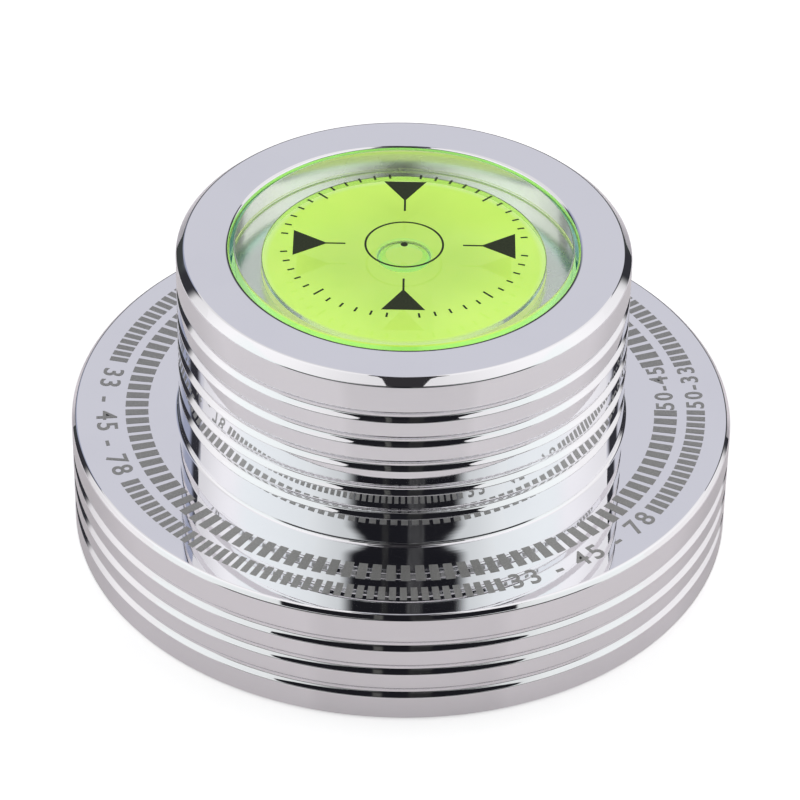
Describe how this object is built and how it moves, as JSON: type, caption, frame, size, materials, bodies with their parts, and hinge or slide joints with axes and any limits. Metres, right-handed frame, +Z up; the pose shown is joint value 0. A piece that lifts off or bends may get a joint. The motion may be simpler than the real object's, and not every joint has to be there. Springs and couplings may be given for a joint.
{
  "type": "record weight",
  "caption": "Polished turned disc weight with grooved edges, a bullseye level in its top, rings of timing marks on its base and a blind spindle bore underneath",
  "frame": {"origin": "centre of the pad's underside, where the weight rests on the record", "axes": "+Z up along the turned axis, -Y towards the viewer of the picture, +X to the right"},
  "size_m": [0.075, 0.075, 0.0369],
  "materials": {
    "polished_metal": "polished",
    "clear_acrylic": "gloss",
    "level_base": "satin",
    "level_liquid": "gloss",
    "adhesive": "matte",
    "black_ink": "satin",
    "laser_mark": "matte",
    "soft_pad": "matte"
  },
  "bodies": {
    "root": {"weight_body": "polished_metal", "vial_body": "clear_acrylic", "vial_base": "level_base", "vial_liquid": "level_liquid", "vial_adhesive": "adhesive", "vial_reticle": "black_ink", "strobe_marks_inner": "laser_mark", "strobe_marks_outer": "laser_mark", "record_pad": "soft_pad"}
  },
  "joints": []
}
